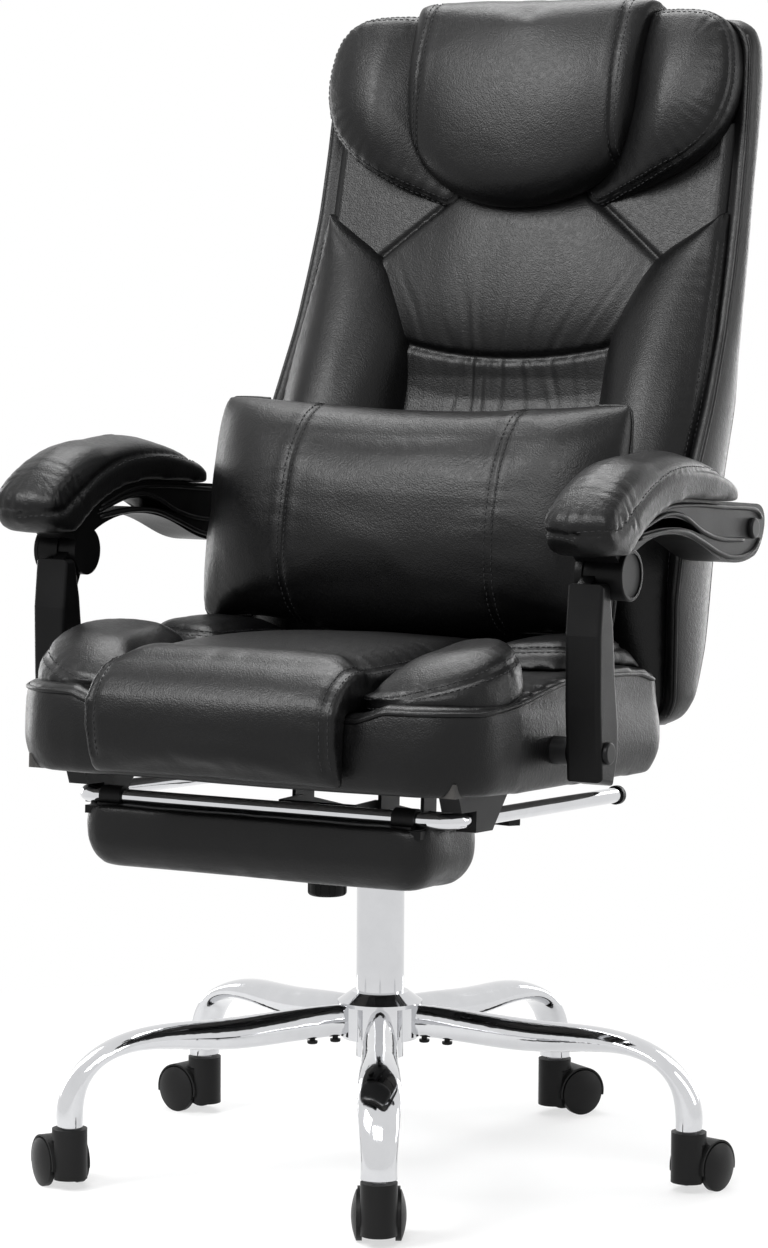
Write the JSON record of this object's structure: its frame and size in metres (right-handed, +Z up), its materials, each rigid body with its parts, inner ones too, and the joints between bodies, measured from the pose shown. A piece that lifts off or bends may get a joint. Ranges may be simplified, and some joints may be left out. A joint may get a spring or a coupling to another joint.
{
  "type": "office chair with footrest",
  "caption": "Reclining office chair with padded leather seat, back, head roll and lumbar pillow, padded arms that follow the back, a pull-out footrest, gas lift and chrome star base on casters.",
  "frame": {"origin": "on the floor, on the axis of the column", "axes": "+Z up, -Y the way the sitter faces, +X to the sitter's left"},
  "size_m": [0.7183, 0.7773, 1.2481],
  "materials": {
    "black_leather": "satin",
    "chrome": "polished",
    "black_plastic": "satin",
    "black_steel": "satin",
    "bright_steel": "satin",
    "black_rubber": "matte",
    "plywood": "matte"
  },
  "bodies": {
    "base": {"base_hub": "chrome", "base_legs": "chrome", "leg_bolts": "bright_steel", "column_tube": "chrome", "column_bush": "black_plastic", "thrust_bearing": "bright_steel"},
    "lift_rod": {"piston_rod": "bright_steel"},
    "mechanism": {"gas_cylinder": "black_steel", "tilt_housing": "black_steel", "tension_buffer": "black_rubber"},
    "tension_knob": {"tension_knob": "black_plastic"},
    "height_lever": {"height_lever": "black_steel"},
    "seat": {"seat_plate": "black_steel", "tilt_pin": "bright_steel", "seat_board": "plywood", "seat_base_cushion": "black_leather", "seat_center_cushion": "black_leather", "seat_side_pads": "black_leather", "seat_screws": "bright_steel", "pivot_bolts": "black_steel", "footrest_brackets": "black_steel", "back_hinge_brackets": "black_steel"},
    "recline_lever": {"recline_lever": "black_steel"},
    "footrest_frame": {"footrest_rails": "chrome", "rail_end_caps": "black_plastic"},
    "footrest_pad": {"footrest_pad": "black_leather", "footrest_board": "black_plastic", "footrest_clips": "black_steel"},
    "back": {"back_shell": "black_leather", "back_board": "plywood", "back_panel_pads": "black_leather", "back_bolsters": "black_leather", "head_wings": "black_leather", "headrest_roll": "black_leather", "back_hinge_leaves": "black_steel", "arm_rear_bolts": "black_steel"},
    "lumbar_pillow": {"lumbar_pillow": "black_leather"},
    "arm_post_left": {"arm_post_left": "black_plastic"},
    "arm_left": {"arm_frame_left": "black_plastic", "arm_pad_left": "black_leather", "arm_pivot_pin_left": "black_plastic"},
    "arm_post_right": {"arm_post_right": "black_plastic"},
    "arm_right": {"arm_frame_right": "black_plastic", "arm_pad_right": "black_leather", "arm_pivot_pin_right": "black_plastic"},
    "caster_1": {"caster_1_hood": "black_plastic", "caster_1_pins": "bright_steel"},
    "caster_1_wheels": {"caster_1_wheels": "black_plastic"},
    "caster_2": {"caster_2_hood": "black_plastic", "caster_2_pins": "bright_steel"},
    "caster_2_wheels": {"caster_2_wheels": "black_plastic"},
    "caster_3": {"caster_3_hood": "black_plastic", "caster_3_pins": "bright_steel"},
    "caster_3_wheels": {"caster_3_wheels": "black_plastic"},
    "caster_4": {"caster_4_hood": "black_plastic", "caster_4_pins": "bright_steel"},
    "caster_4_wheels": {"caster_4_wheels": "black_plastic"},
    "caster_5": {"caster_5_hood": "black_plastic", "caster_5_pins": "bright_steel"},
    "caster_5_wheels": {"caster_5_wheels": "black_plastic"}
  },
  "joints": [
    {"name": "swivel", "type": "hinge", "parent": "base", "child": "lift_rod", "pos_m": [0, 0, 0.12], "axis": [0, 0, 1], "continuous": true},
    {"name": "seat_lift", "type": "slide", "parent": "lift_rod", "child": "mechanism", "axis": [0, 0, 1], "range_m": [-0.033, 0.065]},
    {"name": "tension_turn", "type": "hinge", "parent": "mechanism", "child": "tension_knob", "pos_m": [0, -0.116, 0.32], "axis": [0, 0, 1], "continuous": true},
    {"name": "height_lever_lift", "type": "hinge", "parent": "mechanism", "child": "height_lever", "pos_m": [-0.0435, 0.022, 0.361], "axis": [0, 1, 0], "range_deg": [0, 8], "stiffness_Nm_per_rad": 1, "springref_deg": -11.46},
    {"name": "tilt", "type": "hinge", "parent": "mechanism", "child": "seat", "pos_m": [0, -0.078, 0.388], "axis": [-1, 0, 0], "range_deg": [0, 12], "stiffness_Nm_per_rad": 250, "springref_deg": -17.19},
    {"name": "recline_lever_lift", "type": "hinge", "parent": "seat", "child": "recline_lever", "pos_m": [0.088, -0.06297, 0.38831], "axis": [0, -0.9989, 0.0462], "range_deg": [0, 10], "stiffness_Nm_per_rad": 1, "springref_deg": -11.46},
    {"name": "back_recline", "type": "hinge", "parent": "seat", "child": "back", "pos_m": [0, 0.166, 0.504], "axis": [-1, 0, 0], "range_deg": [0, 35]},
    {"name": "pillow_lift", "type": "slide", "parent": "back", "child": "lumbar_pillow", "axis": [0, -0.2, 0.9798], "range_m": [0, 0.12]},
    {"name": "footrest_slide", "type": "slide", "parent": "seat", "child": "footrest_frame", "axis": [0, -0.9989, 0.0462], "range_m": [0, 0.27]},
    {"name": "footrest_flip", "type": "hinge", "parent": "footrest_frame", "child": "footrest_pad", "pos_m": [0, -0.25903, 0.4131], "axis": [-1, 0, 0], "range_deg": [0, 180]},
    {"name": "arm_post_swing_left", "type": "hinge", "parent": "seat", "child": "arm_post_left", "pos_m": [0.306, -0.145, 0.475], "axis": [-1, 0, 0], "range_deg": [0, 35]},
    {"name": "arm_level_left", "type": "hinge", "parent": "arm_post_left", "child": "arm_left", "pos_m": [0.302, -0.118, 0.647], "axis": [-1, 0, 0], "range_deg": [-35, 0]},
    {"name": "arm_post_swing_right", "type": "hinge", "parent": "seat", "child": "arm_post_right", "pos_m": [-0.306, -0.145, 0.475], "axis": [-1, 0, 0], "range_deg": [0, 35]},
    {"name": "arm_level_right", "type": "hinge", "parent": "arm_post_right", "child": "arm_right", "pos_m": [-0.302, -0.118, 0.647], "axis": [-1, 0, 0], "range_deg": [-35, 0]},
    {"name": "caster_1_swivel", "type": "hinge", "parent": "base", "child": "caster_1", "pos_m": [0.1568, -0.2949, 0.066], "axis": [0, 0, 1], "continuous": true},
    {"name": "caster_1_roll", "type": "hinge", "parent": "caster_1", "child": "caster_1_wheels", "pos_m": [0.14554, -0.27371, 0.025], "axis": [0.8829, 0.4695, 0], "continuous": true},
    {"name": "caster_2_swivel", "type": "hinge", "parent": "base", "child": "caster_2", "pos_m": [0.32893, 0.058, 0.066], "axis": [0, 0, 1], "continuous": true},
    {"name": "caster_2_roll", "type": "hinge", "parent": "caster_2", "child": "caster_2_wheels", "pos_m": [0.33432, 0.08138, 0.025], "axis": [0.9744, -0.225, 0], "continuous": true},
    {"name": "caster_3_swivel", "type": "hinge", "parent": "base", "child": "caster_3", "pos_m": [0.04648, 0.33075, 0.066], "axis": [0, 0, 1], "continuous": true},
    {"name": "caster_3_roll", "type": "hinge", "parent": "caster_3", "child": "caster_3_wheels", "pos_m": [0.0592, 0.3511, 0.025], "axis": [0.848, -0.5299, 0], "continuous": true},
    {"name": "caster_4_swivel", "type": "hinge", "parent": "base", "child": "caster_4", "pos_m": [-0.3002, 0.14642, 0.066], "axis": [0, 0, 1], "continuous": true},
    {"name": "caster_4_roll", "type": "hinge", "parent": "caster_4", "child": "caster_4_wheels", "pos_m": [-0.32358, 0.15182, 0.025], "axis": [0.225, 0.9744, 0], "continuous": true},
    {"name": "caster_5_swivel", "type": "hinge", "parent": "base", "child": "caster_5", "pos_m": [-0.23202, -0.24026, 0.066], "axis": [0, 0, 1], "continuous": true},
    {"name": "caster_5_roll", "type": "hinge", "parent": "caster_5", "child": "caster_5_wheels", "pos_m": [-0.25191, -0.22684, 0.025], "axis": [0.5592, 0.829, 0], "continuous": true}
  ],
  "couplings": [
    {"joint": "footrest_flip", "follows": "footrest_slide", "rad_per_m": 11.636},
    {"joint": "arm_post_swing_left", "follows": "back_recline", "ratio": 1},
    {"joint": "arm_level_left", "follows": "back_recline", "ratio": -1},
    {"joint": "arm_post_swing_right", "follows": "back_recline", "ratio": 1},
    {"joint": "arm_level_right", "follows": "back_recline", "ratio": -1}
  ]
}
